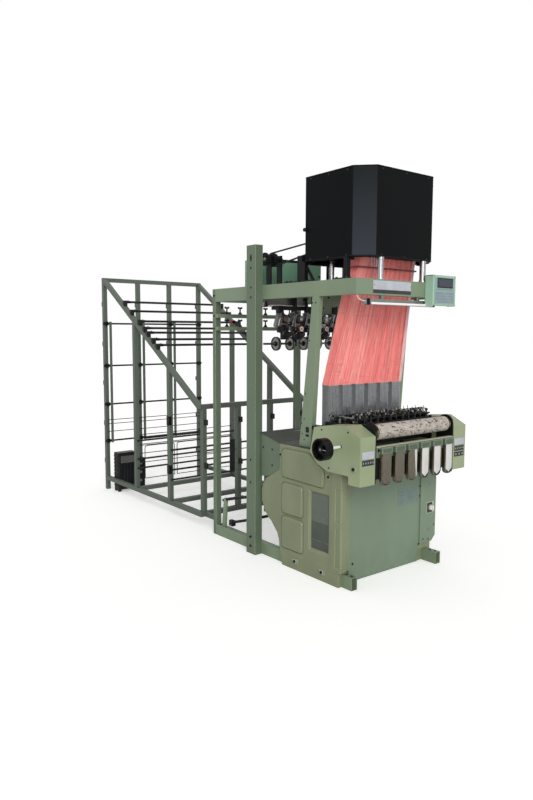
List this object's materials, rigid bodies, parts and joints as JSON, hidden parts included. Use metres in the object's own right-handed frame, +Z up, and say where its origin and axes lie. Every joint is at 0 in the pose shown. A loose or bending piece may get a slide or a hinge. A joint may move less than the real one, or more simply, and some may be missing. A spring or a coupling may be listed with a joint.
{
  "type": "jacquard webbing loom",
  "caption": "Jacquard narrow fabric loom: cast machine bed with open weaving heads, tall post frame carrying a jacquard head and its harness, and a tubular yarn creel behind",
  "frame": {"origin": "middle of the underside of the machine bed, on the floor", "axes": "X to the right seen from the working side, Y back towards the creel, Z up"},
  "size_m": [1.4105, 3.818, 2.694],
  "materials": {
    "frame_green": "sage green enamel, slightly glossy",
    "casting_green": "olive green enamel on a casting",
    "housing_green": "light yellow green enamel",
    "panel_mint": "mint green enamel on sheet",
    "box_mint": "light mint enamel",
    "creel_green": "dark grey green enamel",
    "cover_grey": "dark grey sheet",
    "head_black": "satin black enamel",
    "bracket_black": "black enamel",
    "wheel_black": "black moulded wheel",
    "roller_cream": "cream roller cover with dark mottling",
    "steel": "plain sheet steel",
    "chrome": "bright chrome",
    "mechanism": "dark oiled iron",
    "heddle_steel": "fine steel wires",
    "harness_pink": "salmon pink cords",
    "belt_black": "black rubber",
    "ebox_green": "green enamel on a sheet box",
    "feeder_black": "dark plastic",
    "lamp_grey": "grey reflector sheet",
    "rod_black": "black rods",
    "knob_white": "white knob"
  },
  "bodies": {
    "stand": {"floor_rails": "frame_green", "posts": "frame_green", "side_beams": "frame_green", "front_cross_beam": "frame_green", "rear_cross_bars": "frame_green", "machine_bed": "panel_mint", "front_panel": "panel_mint", "top_cover": "cover_grey", "rear_cover": "frame_green", "left_side_casting": "casting_green", "right_side_casting": "casting_green", "left_head_housing": "housing_green", "right_head_housing": "housing_green", "roller_brackets": "bracket_black", "delivery_bar": "frame_green", "tape_chutes": "steel", "weaving_beam": "mechanism", "reed_frames": "steel", "weft_needle_arms": "steel", "heddle_sets": "heddle_steel", "harness_cords": "harness_pink", "harness_module": "mechanism", "head_cover": "head_black", "head_columns": "chrome", "head_brackets": "bracket_black", "drive_bracket": "bracket_black", "drive_belt": "belt_black", "electrical_box": "ebox_green", "weft_feeders": "feeder_black", "lamp_housings": "lamp_grey", "control_box": "box_mint", "yarn_guide_bars": "frame_green", "struts": "frame_green", "creel_posts": "creel_green", "creel_diagonals": "creel_green", "creel_cross_bars": "creel_green", "creel_side_bars": "creel_green", "creel_rods": "rod_black", "creel_hooks": "rod_black", "stop_motion_box": "feeder_black"},
    "wheel": {"hand_wheel": "wheel_black"},
    "roller": {"take_up_roller": "roller_cream"},
    "drive": {"drive_pulley": "bracket_black"},
    "feed": {"feed_shaft": "steel"},
    "switch": {"switch_knob": "knob_white"}
  },
  "joints": [
    {"name": "hand_wheel_turn", "type": "hinge", "parent": "stand", "child": "wheel", "pos_m": [-0.676, -0.356, 0.942], "axis": [1, 0, 0], "continuous": true},
    {"name": "take_up_turn", "type": "hinge", "parent": "stand", "child": "roller", "pos_m": [0, -0.47, 1.032], "axis": [1, 0, 0], "continuous": true},
    {"name": "jacquard_drive_turn", "type": "hinge", "parent": "stand", "child": "drive", "pos_m": [-0.32, 0.587, 2.183], "axis": [1, 0, 0], "continuous": true},
    {"name": "weft_feed_turn", "type": "hinge", "parent": "stand", "child": "feed", "pos_m": [0, 0.6, 1.568], "axis": [1, 0, 0], "continuous": true},
    {"name": "switch_turn", "type": "hinge", "parent": "stand", "child": "switch", "pos_m": [0.459, -0.303, 0.386], "axis": [0, 1, 0], "range_deg": [0, 90]}
  ]
}
